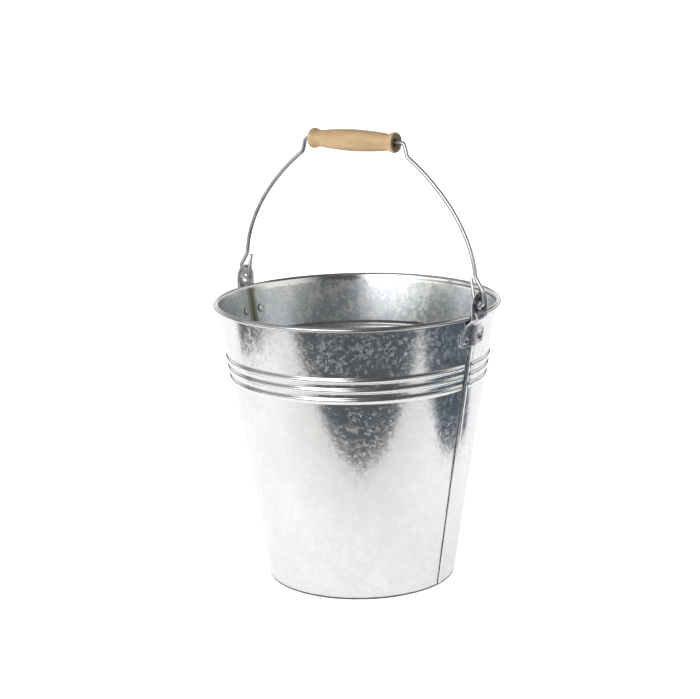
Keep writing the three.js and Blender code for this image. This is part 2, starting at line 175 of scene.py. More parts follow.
def add_object(name, data):
    """Puts a new object with that data into the scene."""
    item = bpy.data.objects.new(name, data)
    bpy.context.scene.collection.objects.link(item)
    return item


def make_piece(name, points, faces, body, slot, material, nodes, sharp_degrees=35):
    """Makes a smooth mesh object from points in millimetres, and places it on its body."""
    mesh = bpy.data.meshes.new(name)
    mesh.from_pydata((np.asarray(points, float) * MM).tolist(), [], faces)
    work = bmesh.new()
    work.from_mesh(mesh)
    bmesh.ops.recalc_face_normals(work, faces=work.faces)
    work.to_mesh(mesh)
    work.free()
    mesh.shade_smooth()
    mesh.set_sharp_from_angle(angle=math.radians(sharp_degrees))
    mesh.materials.append(material)
    piece = add_object(name, mesh)
    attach(piece, body)
    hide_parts(*nodes)
    return piece


def make_pair(names, points, faces, slot, material, nodes, **settings):
    """Makes two like pieces of the bucket, the second one turned half round."""
    places = (points, points * np.array([-1, -1, 1]))
    return [make_piece(name, place, faces, "bucket", slot, material, [node], **settings)
            for name, place, node in zip(names, places, nodes)]


def mark_points(piece, name, values):
    """Stores a value at every point of a piece for its material."""
    attribute = piece.data.attributes.new(name, "FLOAT", "POINT")
    attribute.data.foreach_set("value", values)


def around(radius, angle, height):
    """Points at those distances from the Z axis, angles round it and heights."""
    x, y, z = np.broadcast_arrays(radius * np.cos(angle), radius * np.sin(angle), height)
    return np.stack([x, y, z], axis=2)


def turned_mesh(section, steps, closed):
    """A section of [radius, height] turned once about Z. It closes on itself, or else starts
    and ends near the axis."""
    angles = np.linspace(0, 2 * math.pi, steps, endpoint=False)
    points = around(section[:, :1], angles, section[:, 1:]).reshape(-1, 3)
    return points, ring_faces(len(section), steps, closed)


ARC_STEPS = 6


def rounded(corners, steps=ARC_STEPS):
    """A polyline with each (x, y, bend radius) corner rounded to an arc. A closed one joins
    its last corner to its first, and an open one has no bend at its ends."""
    result = []
    for i, (x, y, bend) in enumerate(corners):
        here = np.array([x, y], float)
        if bend == 0:
            result.append(here)
            continue
        before = np.array(corners[i - 1][:2], float) - here
        after = np.array(corners[(i + 1) % len(corners)][:2], float) - here
        before /= np.linalg.norm(before)
        after /= np.linalg.norm(after)
        half = math.acos(max(-1, min(1, float(before @ after)))) / 2
        middle = before + after
        centre = here + middle / np.linalg.norm(middle) * bend / math.sin(half)
        first = here + before * bend / math.tan(half) - centre
        turn = math.pi - 2 * half
        sense = -math.copysign(1, before[0] * after[1] - before[1] * after[0])
        for step in range(steps + 1):
            a = sense * turn * step / steps
            spin = np.array([[math.cos(a), -math.sin(a)], [math.sin(a), math.cos(a)]])
            result.append(centre + spin @ first)
    return np.array(result)


def bezier(knots, t):
    """The point at t on the cubic Bezier curve with those four knots."""
    weights = ((1 - t) ** 3, 3 * (1 - t) ** 2 * t, 3 * (1 - t) * t * t, t ** 3)
    return sum(w * np.array(k) for w, k in zip(weights, knots))


def smooth_curve(knots, count):
    """A Catmull-Rom curve through the knots, at evenly spread parameters."""
    knots = np.asarray(knots, float)
    padded = np.vstack([2 * knots[0] - knots[1], knots, 2 * knots[-1] - knots[-2]])
    result = []
    for u in np.linspace(0, len(knots) - 1, count):
        i = min(int(u), len(knots) - 2)
        t = u - i
        p0, p1, p2, p3 = padded[i:i + 4]
        result.append(0.5 * (
            2 * p1 + (p2 - p0) * t + (2 * p0 - 5 * p1 + 4 * p2 - p3) * t ** 2
            + (3 * p1 - p0 - 3 * p2 + p3) * t ** 3
        ))
    return np.array(result)


# -------- material helpers

class Nodes:
    """A short way to add and join shader nodes in one tree."""

    def __init__(self, tree):
        self.tree = tree

    def add(self, kind, settings=None, **inputs):
        """Adds a node, with its settings and its inputs."""
        node = self.tree.nodes.new(kind)
        for key, value in (settings or {}).items():
            setattr(node, key, value)
        self.plug(node, **inputs)
        return node

    def plug(self, node, **inputs):
        """Gives a node's inputs, named by socket, a value or another socket."""
        for key, value in inputs.items():
            self.set(node.inputs[key.replace("_", " ")], value)

    def set(self, socket, value):
        """Gives a socket a value, or joins another socket to it."""
        if isinstance(value, bpy.types.NodeSocket):
            self.tree.links.new(value, socket)
        else:
            socket.default_value = value

    def math(self, operation, a, b=0.0):
        """The result of a math node."""
        node = self.add("ShaderNodeMath", {"operation": operation})
        self.set(node.inputs[0], a)
        self.set(node.inputs[1], b)
        return node.outputs[0]

    def times(self, a, b):
        """The product of two numbers."""
        return self.math("MULTIPLY", a, b)

    def vector(self, operation, a, b=(0, 0, 0)):
        """The result of a vector math node."""
        node = self.add("ShaderNodeVectorMath", {"operation": operation})
        self.set(node.inputs[0], a)
        self.set(node.inputs[1], b)
        return node.outputs["Value" if operation in ("LENGTH", "DOT_PRODUCT") else "Vector"]

    def scaled(self, vector, factor):
        """A vector times a number."""
        node = self.add("ShaderNodeVectorMath", {"operation": "SCALE"}, Scale=factor)
        self.set(node.inputs[0], vector)
        return node.outputs["Vector"]

    def remap(self, value, low, high, to_low=0.0, to_high=1.0, smooth=False):
        """A clamped map from one range to another."""
        kind = {"interpolation_type": "SMOOTHSTEP" if smooth else "LINEAR"}
        return self.add("ShaderNodeMapRange", kind, Value=value, From_Min=low, From_Max=high,
                        To_Min=to_low, To_Max=to_high).outputs["Result"]

    def mix(self, factor, a, b, blend="MIX"):
        """A mix of two colours."""
        node = self.add("ShaderNodeMix", {"data_type": "RGBA", "blend_type": blend})
        self.set(node.inputs["Factor"], factor)
        self.set(node.inputs[6], a)
        self.set(node.inputs[7], b)
        return node.outputs[2]

    def noise(self, vector, scale, detail, roughness, output="Fac"):
        """A noise texture's value, or its colour."""
        return self.add("ShaderNodeTexNoise", Vector=vector, Scale=scale, Detail=detail,
                        Roughness=roughness).outputs[output]

    def place(self):
        """The place on the object, in metres."""
        return self.add("ShaderNodeTexCoord").outputs["Object"]

    def stretched(self, x, y, z):
        """The place on the object with each axis scaled."""
        return self.vector("MULTIPLY", self.place(), (x, y, z))

    def axis(self, vector, name):
        """One component of a vector."""
        return self.add("ShaderNodeSeparateXYZ", Vector=vector).outputs[name]

    def mark(self, name):
        """A value that was stored at the mesh's points."""
        return self.add("ShaderNodeAttribute", {"attribute_name": name}).outputs["Fac"]

    def bump(self, height, strength, distance):
        """The surface's direction, with a fine relief."""
        return self.add("ShaderNodeBump", Height=height, Strength=strength,
                        Distance=distance).outputs["Normal"]


def new_material(name):
    """A material with a Principled shader: (material, nodes, shader)."""
    material = bpy.data.materials.new(name)
    material.use_nodes = True
    nodes = Nodes(material.node_tree)
    return material, nodes, material.node_tree.nodes["Principled BSDF"]


def grey(value, tint=(1, 1, 1)):
    """A linear colour of that brightness."""
    return (value * tint[0], value * tint[1], value * tint[2], 1)


# -------- zinc-coated sheet

# Where the wall's looks give way to the bead's, in metres.
BEAD_START = (WALL_TOP + 0.5) * MM


def zinc_crystals(nodes, place, spangle):
    """Two sizes of crystal with jagged borders, as a colour that differs for each crystal."""
    jagged = nodes.noise(place, 450.0, 2.0, 0.5, "Color")
    jagged = nodes.scaled(nodes.vector("SUBTRACT", jagged, (0.5, 0.5, 0.5)), 0.0055)
    warped = nodes.vector("ADD", place, jagged)
    large = nodes.add("ShaderNodeTexVoronoi", Vector=warped, Scale=230.0 / spangle)
    small = nodes.add("ShaderNodeTexVoronoi", Vector=warped, Scale=560.0 / spangle)
    return nodes.mix(0.42, large.outputs["Color"], small.outputs["Color"])


def worked_zinc(nodes, height):
    """1 at the bead and nearly 1 on the ribs, where forming smoothed the crystals."""
    worked = nodes.remap(height, BEAD_START, BEAD_START + 0.002)
    for rib in RIB_HEIGHTS:
        from_rib = nodes.math("ABSOLUTE", nodes.math("SUBTRACT", height, rib * MM))
        worked = nodes.math("MAXIMUM", worked, nodes.remap(from_rib, 0.0026, 0.0038, 0.85, 0.0))
    return worked


def inner_face(nodes, height, outward):
    """1 on the wall's inner face, and 0 on its outer face and on the bead."""
    normal = nodes.add("ShaderNodeTexCoord").outputs["Normal"]
    inside = nodes.remap(nodes.vector("DOT_PRODUCT", normal, outward), -0.3, 0.0, 1.0, 0.0)
    below = nodes.remap(height, BEAD_START - 0.0025, BEAD_START, 1.0, 0.0)
    return nodes.times(inside, below)


def zinc_shade(nodes, crystal, lines, inside, worked):
    """What the zinc is darkened by: upright lines, and broad bluish mottling that is strong
    inside the bucket and faint outside."""
    broad = nodes.noise(nodes.stretched(1.0, 1.0, 0.8), 60.0, 6.0, 0.74)
    grains = nodes.times(nodes.math("SUBTRACT", crystal["Red"], 0.5), 0.42)
    broad = nodes.math("ADD", broad, nodes.times(grains, inside))
    mottle = nodes.remap(inside, 0.0, 1.0, 0.045, 0.27)
    mottle = nodes.times(mottle, nodes.remap(worked, 0.0, 1.0, 1.0, 0.3))
    mottle = nodes.times(mottle, nodes.remap(broad, 0.42, 0.60, 1.0, 0.0, smooth=True))
    shade = {}
    for channel, share in (("Red", 1.12), ("Green", 1.0), ("Blue", 0.88)):
        kept = nodes.math("SUBTRACT", 1.0, nodes.times(mottle, share))
        shade[channel] = nodes.times(lines, kept)
    return nodes.add("ShaderNodeCombineColor", **shade).outputs["Color"]


def zinc_painted_shade(nodes, place, height, outward, inside):
    """1 where shade is painted: a dark line along the foot, for the shadow where it meets the
    floor, and outside under the bead, most on the right, for the shade under the curl.
    """
    ragged = nodes.times(nodes.noise(place, 90.0, 3.0, 0.6), 0.0012)
    foot = nodes.remap(nodes.math("SUBTRACT", height, ragged), 0.0013, 0.0019, 1.0, 0.0)
    curl_edge = (BEAD_HEIGHT - 1.3) * MM
    under = nodes.remap(height, curl_edge - 0.0004, curl_edge + 0.0004, 1.0, 0.0)
    under = nodes.times(under, nodes.remap(height, BEAD_START, BEAD_START + 0.0007))
    under = nodes.times(under, nodes.math("SUBTRACT", 1.0, inside))
    under = nodes.times(under, nodes.remap(nodes.axis(outward, "X"), -0.5, 0.45, 0.1, 0.85))
    return nodes.math("MAXIMUM", foot, under)


def galvanised(name, spangle=0.8, streak=0.04, dull=0.36):
    """Hot-dip zinc: mirror-like and frosted crystals, each leaning its own way. spangle scales
    them, dull is the frosted share, and streak is the depth of the upright streaks."""
    material, nodes, shader = new_material(name)
    place = nodes.place()
    height = nodes.axis(place, "Z")
    outward = nodes.vector("NORMALIZE", nodes.stretched(1.0, 1.0, 0.0))
    worked = worked_zinc(nodes, height)
    inside = inner_face(nodes, height, outward)
    crystals = zinc_crystals(nodes, place, spangle)
    crystal = nodes.add("ShaderNodeSeparateColor", Color=crystals).outputs
    clouds = nodes.noise(place, 16.0, 4.0, 0.6)
    streaks = nodes.noise(nodes.stretched(1.0, 1.0, 0.05), 520.0, 4.0, 0.65)

    chance = nodes.math("ADD", crystal["Red"],
                        nodes.times(nodes.math("SUBTRACT", clouds, 0.5), 0.9))
    frost = nodes.remap(chance, 0.97 - dull, 1.07 - dull, smooth=True)
    frost = nodes.times(frost, nodes.remap(worked, 0.0, 1.0, 1.0, 0.15))
    mirror = nodes.mix(crystal["Blue"], grey(0.875, (0.99, 1.0, 1.01)), grey(0.89))
    matt = nodes.mix(crystal["Blue"], grey(0.89), grey(0.90, (1.0, 0.998, 0.985)))
    lines = nodes.remap(nodes.math("ADD", streaks, nodes.times(clouds, 0.5)),
                        0.5, 1.0, 1.0 - streak * 1.6, 1.0)
    shade = zinc_shade(nodes, crystal, lines, inside, worked)
    colour = nodes.mix(1.0, nodes.mix(frost, mirror, matt), shade, "MULTIPLY")
    painted_shade = zinc_painted_shade(nodes, place, height, outward, inside)
    rough = nodes.remap(frost, 0.0, 1.0, 0.155, 0.255)
    rough = nodes.math("ADD", rough, nodes.remap(streaks, 0.3, 0.7, -0.015, 0.01))
    rough = nodes.math("ADD", rough, nodes.times(inside, 0.155))

    lean = nodes.times(nodes.remap(frost, 0.0, 1.0, 0.035, 0.06),
                       nodes.remap(worked, 0.0, 1.0, 1.0, 0.25))
    lean = nodes.scaled(nodes.vector("SUBTRACT", crystals, (0.5, 0.5, 0.5)), lean)
    fine = nodes.bump(nodes.noise(place, 2200.0, 2.0, 0.6), 0.12, 0.00003)
    # Painted shade: a dark warm grey and rougher zinc along the foot and under the bead.
    nodes.plug(shader, Base_Color=nodes.mix(painted_shade, colour, grey(0.16, (1.0, 0.97, 0.93))),
               Roughness=nodes.math("MAXIMUM", rough, nodes.times(painted_shade, 0.5)),
               Metallic=nodes.remap(frost, 0.0, 1.0, 1.0, 0.87),
               Normal=nodes.vector("NORMALIZE", nodes.vector("ADD", fine, lean)))
    return material


# -------- other materials

def drawn_wire(name, tone, roughness):
    """Galvanised wire and rivets: fine relief, duller patches of zinc, and painted shade in
    recesses.
    """
    material, nodes, shader = new_material(name)
    place = nodes.place()
    patches = nodes.noise(place, 110.0, 3.0, 0.5)
    fine = nodes.noise(place, 1300.0, 2.0, 0.5)
    level = nodes.remap(nodes.math("ADD", patches, nodes.times(fine, 0.2)), 0.4, 0.8)
    metal = nodes.mix(level, grey(tone * 0.9), grey(tone))
    nodes.plug(shader, Base_Color=nodes.mix(nodes.mark("recess_shade"), metal, grey(0.06)),
               Roughness=nodes.remap(patches, 0.35, 0.7, *roughness), Metallic=1.0,
               Normal=nodes.bump(fine, 0.3, 0.00003))
    return material


def stamped_zinc(name):
    """Bright zinc plate off the press: a little mauve, with rub marks, pale edges that are a
    painted highlight, and painted shade where the mesh is marked for it."""
    material, nodes, shader = new_material(name)
    patches = nodes.noise(nodes.place(), 180.0, 4.0, 0.6)
    rubs = nodes.noise(nodes.stretched(1.0, 1.0, 0.15), 1600.0, 3.0, 0.65)
    level = nodes.remap(nodes.math("ADD", patches, nodes.times(rubs, 0.35)), 0.4, 0.9)
    plate = nodes.mix(level, grey(0.72, (1.0, 0.96, 1.02)), grey(0.88, (1.0, 0.97, 1.01)))
    # Painted shade round the eye and in the crease, and a painted highlight along the edges,
    # broken up by the patches.
    plate = nodes.mix(nodes.mark("painted_shade"), plate, grey(0.15, (0.98, 1.0, 0.95)))
    edge_highlight = nodes.math("ADD", nodes.mark("highlit_edge"), nodes.times(patches, 0.4))
    edge_highlight = nodes.remap(edge_highlight, 0.45, 0.8)
    nodes.plug(shader, Base_Color=nodes.mix(edge_highlight, plate, grey(0.93)),
               Roughness=nodes.remap(rubs, 0.3, 0.75, 0.22, 0.36),
               Metallic=nodes.remap(edge_highlight, 0.0, 1.0, 1.0, 0.45),
               Normal=nodes.bump(rubs, 0.35, 0.00005))
    return material


def sealer(name):
    """Olive seam sealer: dark over the joint, olive beside it, and paler towards its edges."""
    material, nodes, shader = new_material(name)
    place = nodes.place()
    blotches = nodes.noise(place, 260.0, 4.0, 0.6)
    from_joint = nodes.math("ABSOLUTE", nodes.axis(place, "Y"))
    thick = nodes.mix(blotches, (0.27, 0.29, 0.15, 1), (0.40, 0.43, 0.26, 1))
    thin = nodes.mix(blotches, (0.36, 0.40, 0.34, 1), (0.50, 0.55, 0.50, 1))
    body = nodes.mix(nodes.remap(from_joint, 0.0012, 0.0058, smooth=True), thick, thin)
    centre = nodes.remap(from_joint, 0.0004, 0.0010, smooth=True)
    nodes.plug(shader, Base_Color=nodes.mix(centre, (0.05, 0.055, 0.03, 1), body),
               Roughness=nodes.remap(blotches, 0.3, 0.7, 0.32, 0.5),
               Normal=nodes.bump(blotches, 0.5, 0.0002))
    return material


def beech(name):
    """Turned beech: pale tan with grain along X, short flecks, dark end grain, and painted shade
    in the bore.
    """
    material, nodes, shader = new_material(name)
    grain = nodes.noise(nodes.stretched(0.08, 1.0, 1.0), 1100.0, 6.0, 0.68)
    broad = nodes.noise(nodes.stretched(0.22, 1.0, 1.0), 130.0, 3.0, 0.5)
    flecks = nodes.add("ShaderNodeTexVoronoi", Vector=nodes.stretched(0.16, 1.0, 1.0),
                       Scale=900.0)
    fleck = nodes.remap(flecks.outputs["Distance"], 0.0, 0.32, 1.0, 0.0, smooth=True)
    tone = nodes.math("ADD", nodes.times(grain, 0.55), nodes.times(broad, 0.65))
    wood = nodes.mix(nodes.remap(tone, 0.42, 0.82), (0.63, 0.44, 0.245, 1),
                     (0.38, 0.245, 0.12, 1))
    wood = nodes.mix(nodes.times(fleck, 0.22), wood, (0.30, 0.17, 0.075, 1))
    facing_x = nodes.axis(nodes.add("ShaderNodeNewGeometry").outputs["Normal"], "X")
    end = nodes.remap(nodes.math("ABSOLUTE", facing_x), 0.6, 0.9, smooth=True)
    # Painted shade inside the bore and its mouth, by distance from the axis.
    off_axis = nodes.vector("SUBTRACT", nodes.place(), (0, 0, GRIP_HEIGHT * MM))
    off_axis = nodes.vector("MULTIPLY", off_axis, (0.0, 1.0, 1.0))
    bore = nodes.remap(nodes.vector("LENGTH", off_axis), 0.0068, 0.0078, 1.0, 0.0)
    end_grain_and_bore_shade = nodes.times(nodes.math("MAXIMUM", end, bore), 0.9)
    nodes.plug(shader, Base_Color=nodes.mix(end_grain_and_bore_shade, wood, (0.125, 0.095, 0.065, 1)),
               Roughness=nodes.remap(grain, 0.3, 0.75, 0.42, 0.58), Specular_IOR_Level=0.4,
               Coat_Weight=0.12, Coat_Roughness=0.35, Normal=nodes.bump(grain, 0.35, 0.00012))
    return material


ZINC = galvanised("galvanised_sheet")
FLOOR_ZINC = galvanised("galvanised_bottom", spangle=1.1, streak=0.03, dull=0.6)
WIRE = drawn_wire("zinc_wire", 0.98, (0.3, 0.42))
RIVET_ZINC = drawn_wire("rivet_zinc", 0.8, (0.24, 0.36))
STAMPED = stamped_zinc("stamped_ear_zinc")
SEALER = sealer("seam_sealer")
BEECH = beech("beech_wood")


# -------- body panels

def wall_rows():
    """Centre line of the sheet from the hem's edge, round the foot, up the wall and round the
    rolled rim, as (radius, height)."""
    half = SHEET / 2
    foot = FOOT_RADIUS - half
    rows = [(FOOT_RADIUS - HEM_WIDTH, half), (FOOT_RADIUS - HEM_WIDTH / 2, half)]
    bend = HEM_BEND - half
    for angle in np.linspace(-math.pi / 2, -WALL_TILT, 7):
        rows.append((foot - bend + bend * math.cos(angle) + 0.12,
                     half + bend + bend * math.sin(angle)))
    low_rib, high_rib = RIBBED_BAND
    heights = np.concatenate([np.arange(3.0, low_rib, 5.0), np.arange(low_rib, high_rib, 0.4),
                              np.arange(high_rib, WALL_TOP, 2.0)])
    for z in np.sort(heights):
        rows.append((wall_radius(z) - half, z))
    curl = BEAD_RADIUS - half
    for angle in np.linspace(math.pi - WALL_TILT, BEAD_CURL_END, 44):
        rows.append((BEAD_RING + curl * math.cos(angle), BEAD_HEIGHT + curl * math.sin(angle)))
    return np.array(rows)


def rib_rise(z, beside_seam):
    """How far the ribs push the wall out at height z."""
    total = np.zeros_like(z)
    for centre in RIB_HEIGHTS:
        t = np.clip(np.abs(z - centre) / RIB_HALF_WIDTH, 0, 1)
        total += RIB_RISE * (0.5 + 0.5 * np.cos(math.pi * t)) ** 0.85
    return total * beside_seam


# Columns of the panel's mesh, as distances from a side seam: the lap's and the plain edge's.
LAP_COLUMNS = np.array([
    -3.8, -3.78, -3.7, -3.55, -3.3, -2.8, -2.0, -1.0, -0.2, 0.08, 0.16, 0.6, 1.4,
    2.2, 2.8, 3.2, 3.5, 3.8, 4.1, 4.5, 5.0, 5.5, 6.1, 6.8, 7.5, 8.2])
PLAIN_COLUMNS = np.array([8.0, 7.2, 6.4, 5.7, 5.1, 4.6, 4.0, 2.5, 1.2, 0.15])
MIDDLE_COLUMNS = np.linspace(0, 1, 200)[1:-1]


def panel_angles(radius, in_seam):
    """The angle of each mesh point round the Z axis. Off the seam the lap's columns draw back
    so that the two panels meet edge to edge."""
    first, last = LAP_COLUMNS[0], LAP_COLUMNS[-1]
    drawn_back = np.interp(LAP_COLUMNS, [first, last], [GAP / 2, last])
    lap = (drawn_back * (1 - in_seam) + LAP_COLUMNS * in_seam) / radius
    plain = math.pi - PLAIN_COLUMNS[None, :] / radius
    start, end = lap[:, -1:], plain[:, :1]
    return np.hstack([lap, start + (end - start) * MIDDLE_COLUMNS[None, :], plain])


def lap_offsets(in_seam, columns):
    """How far the sheet's outer and inner faces are from its middle, lap included."""
    y = np.full((len(in_seam), columns), np.inf)
    y[:, :len(LAP_COLUMNS)] = LAP_COLUMNS[None, :]
    climb = 1 - smoothstep(-0.8, 4.9, y)
    edge = np.clip((-3.3 - y) / 0.5, 0, 1)
    edge_round = 1 - np.sqrt(1 - edge ** 2)
    top = SEAM_RISE * climb - 0.55 * edge_round
    under = np.where(y < 0.12, GAP + 0.12 + 0.5 * edge_round, -SHEET)
    lap = np.where(np.isfinite(y), in_seam, 0)
    return SHEET / 2 + lap * top, -SHEET / 2 + lap * (under + SHEET)


def panel_grid():
    """Outer and inner faces of the back panel, as points by row and column. Its lap over the
    other panel is at +X, and its plain edge is at -X."""
    rows = wall_rows()
    radius, height = rows[:, :1], rows[:, 1:]
    low, high = SEAM_SPAN
    in_seam = smoothstep(low - SEAM_BLEND, low, height) * (radius < BEAD_RING - 1)
    in_seam = in_seam * (1 - smoothstep(high, high + SEAM_BLEND, height))
    angle = panel_angles(radius, in_seam)
    from_seam = np.minimum(np.abs(angle), np.abs(math.pi - angle)) * radius
    radius = np.repeat(radius, angle.shape[1], axis=1)
    height = np.repeat(height, angle.shape[1], axis=1)
    on_wall = (radius < BEAD_RING - 1) & (height > HEM_BEND) & (height < WALL_TOP)
    radius = radius + np.where(on_wall, rib_rise(height, smoothstep(*RIB_FADE, from_seam)), 0)

    along_r = np.gradient(radius, axis=0)
    along_z = np.gradient(height, axis=0)
    length = np.hypot(along_r, along_z)
    normal_r = along_z / length
    normal_z = -along_r / length
    outer_offset, inner_offset = lap_offsets(in_seam, angle.shape[1])
    wobble = sheet_wobble(angle, height)

    def face(offset):
        r = np.minimum(radius + normal_r * offset + wobble, RIM_RADIUS)
        return around(r, angle, np.maximum(height + normal_z * offset, 0))

    return face(outer_offset), face(inner_offset)


def sheet_solid(outer, inner):
    """Points and faces of a closed sheet between two faces with the same rows and columns."""
    rows, columns = outer.shape[:2]
    points = np.vstack([outer.reshape(-1, 3), inner.reshape(-1, 3)])
    shift = rows * columns
    faces = grid_faces(rows, columns)
    faces += [tuple(reversed(f)) for f in grid_faces(rows, columns, shift)]
    at = np.arange(shift).reshape(rows, columns)
    rim = np.concatenate([at[:, 0], at[-1, 1:], at[-2::-1, -1], at[0, -2:0:-1]]).tolist()
    faces += [(a, b, b + shift, a + shift) for a, b in zip(rim, rim[1:] + rim[:1])]
    return points, faces


def body_panels():
    """The two half panels, which are the same piece turned half round."""
    points, faces = sheet_solid(*panel_grid())
    make_pair(("sheet_panel_back", "sheet_panel_front"), points, faces, "galvanised_body",
              ZINC, ("body_panel_back", "body_panel_front"))


def bottom_pan():
    """The floor, crowned a little, with a bend down into the flange that the hem holds."""
    def inside(z):
        return wall_radius(z) - SHEET - GAP * 0.5
    foot = SHEET + GAP
    top = FLOOR_HEIGHT + SHEET
    section = rounded([
        (0.5, FLOOR_HEIGHT + 0.35, 0), (70, FLOOR_HEIGHT + 0.2, 30),
        (inside(FLOOR_HEIGHT) - SHEET, FLOOR_HEIGHT, 1.2),
        (inside(foot) - SHEET, foot, 0.15), (inside(foot), foot, 0.15),
        (inside(top), top, 1.8), (70, top + 0.2, 30), (0.5, top + 0.35, 0),
    ])
    points, faces = turned_mesh(section, 144, closed=False)
    make_piece("sheet_bottom", points, faces, "bucket", "galvanised_bottom", FLOOR_ZINC,
               ["bottom_disc"])


# -------- sealer

def seam_smears():
    """A thin, uneven smear of sealer over the joint inside each side seam."""
    z = np.linspace(FLOOR_HEIGHT + 3, BEAD_HEIGHT - 0.8, 150)[:, None]
    across = np.linspace(-1, 1, 25)[None, :]
    left = 6.4 + 0.5 * np.sin(z / 9) + 0.35 * np.sin(z / 3.1 + 1)
    right = 6.7 + 0.45 * np.sin(z / 7 + 2) + 0.3 * np.sin(z / 2.7)
    y = np.where(across < 0, across * left, across * right)
    thick = 0.30 * (1 - across ** 2) * (0.4 + 0.6 * smoothstep(0.2, 1.1, np.abs(y)))
    thick = thick * (1 + 0.25 * np.sin(z / 4.3 + y))
    base = wall_radius(z) - SHEET + 0.05
    shift = sheet_wobble(y / base, z)

    def face(inset):
        return around(base + shift - inset, y / base, z)

    points, faces = sheet_solid(face(-0.03), face(thick + 0.04))
    make_pair(("seam_smear_right", "seam_smear_left"), points, faces, "seam_sealer", SEALER,
              ("seam_sealant_right", "seam_sealant_left"))


def floor_fillet():
    """The bead of sealer in the corner between the floor and the wall."""
    low = FLOOR_HEIGHT + SHEET - 0.1
    wall = wall_radius(low) - SHEET
    angles = np.linspace(0, 2 * math.pi, 240, endpoint=False)
    corner = [(wall - 0.1, low, 0), (wall + 0.35, low + 2.7, 0.3), (wall - 2.6, low + 0.1, 0.3)]
    section = rounded(corner)
    # A point before the last corner's arc makes the bead's face hollow.
    before_last = len(section) - (ARC_STEPS + 1)
    section = np.insert(section, before_last, (wall - 0.75, low + 1.15), axis=0)
    points, faces = turned_mesh(section, len(angles), closed=True)
    points = points.reshape(len(section), len(angles), 3)
    swell = 1 + 0.0015 * np.sin(9 * angles) + 0.001 * np.sin(23 * angles + 1)
    points[:, :, 0] *= swell
    points[:, :, 1] *= swell
    make_piece("floor_sealer", points.reshape(-1, 3), faces, "bucket", "seam_sealer", SEALER,
               ["base_sealant_ring"])


# -------- ears and rivets

def ear_outline():
    """The ear's edge seen from outside, as points of (y, z), anticlockwise."""
    wing = EAR_WING_REACH
    half = EAR_HALF_WIDTH
    arch = EAR_TOP - half
    corner = 7
    points = [(wing - corner, EAR_BOTTOM)]
    for t in np.linspace(0, 1, 16)[1:]:
        points.append((wing - corner * (1 - t) ** 2, EAR_BOTTOM + corner * t * t))
    shoulder = [(wing, EAR_WING_TOP), (wing, EAR_WING_TOP + 7),
                (half, EAR_WING_TOP + 3.5), (half, EAR_WAIST)]
    points += [tuple(bezier(shoulder, t)) for t in np.linspace(0, 1, 24)]
    for angle in np.linspace(0, math.pi / 2, 20):
        points.append((half * math.cos(angle), arch + half * math.sin(angle)))
    mirrored = [(-y, z) for y, z in reversed(points[:-1])]
    return np.array(points + mirrored)


def even_loop(points, spacing):
    """A closed polyline with its points spread evenly along it."""
    ring = np.vstack([points, points[:1]])
    steps = np.hypot(*np.diff(ring, axis=0).T)
    reach = np.concatenate([[0], np.cumsum(steps)])
    count = int(round(reach[-1] / spacing))
    at = np.linspace(0, reach[-1], count, endpoint=False)
    return np.stack([np.interp(at, reach, ring[:, i]) for i in (0, 1)], axis=1)


def inset_loop(loop, distance):
    """The loop moved to its left by a distance, which is inwards on an anticlockwise one."""
    ahead = np.roll(loop, -2, axis=0) - np.roll(loop, 2, axis=0)
    ahead /= np.hypot(ahead[:, 0], ahead[:, 1])[:, None]
    return loop + distance * np.stack([-ahead[:, 1], ahead[:, 0]], axis=1)


def ear_face_radius(y, z):
    """How far the plate's middle is from the Z axis. The wings hug the wall, the head stands
    clear of the bead, and a raised channel widens into the dished ring."""
    hug = wall_radius(z) + GAP + EAR_SHEET / 2
    stand = RIM_RADIUS + 2 * GAP + EAR_SHEET / 2
    hug = hug + 0.6 * smoothstep(15.5, EAR_WING_REACH, np.abs(y))
    base = hug + (stand - hug) * smoothstep(RIM_HEIGHT - 12, RIM_HEIGHT - 4, z)
    neck = smoothstep(RIM_HEIGHT - 9, RING_HEIGHT - 3, z)
    half = CHANNEL_HALF_WIDTH + (RING_RADIUS - CHANNEL_HALF_WIDTH) * neck
    round_top = np.hypot(y, z - RING_HEIGHT) - RING_RADIUS
    beyond = np.where(z > RING_HEIGHT, round_top, np.abs(y) - half)
    rise = 2.3 - 0.9 * smoothstep(RIM_HEIGHT - 12, RIM_HEIGHT - 2, z)
    raised = rise * (1 - smoothstep(0, 1.2, beyond))
    dished = 1.5 * smoothstep(0.7, 2.3, -beyond) * smoothstep(RIM_HEIGHT - 2, RIM_HEIGHT + 3, z)
    from_rivet = np.hypot(np.abs(y) - RIVET_OFFSET, z - RIVET_HEIGHT)
    seated = 0.2 * (1 - smoothstep(4.2, 6.2, from_rivet))
    return base + raised - dished - seated


def ear_points(flat, lift):
    """Places flat (y, z) points on the ear's bent plate, lifted off its middle by lift."""
    y, z = flat[:, 0], flat[:, 1]
    step = 0.05
    radius = ear_face_radius(y, z)
    slope_y = (ear_face_radius(y + step, z) - ear_face_radius(y - step, z)) / (2 * step)
    slope_z = (ear_face_radius(y, z + step) - ear_face_radius(y, z - step)) / (2 * step)
    scale = 1 / np.sqrt(1 + slope_y ** 2 + slope_z ** 2)
    angle = y / RIM_RADIUS
    out = np.stack([np.cos(angle), np.sin(angle), 0 * angle], axis=1)
    side = np.stack([-np.sin(angle), np.cos(angle), 0 * angle], axis=1)
    up = np.array([[0, 0, 1.0]])
    normal = out - slope_y[:, None] * side - slope_z[:, None] * up
    normal *= scale[:, None]
    middle = out * radius[:, None] + up * z[:, None]
    return middle + normal * lift[:, None]


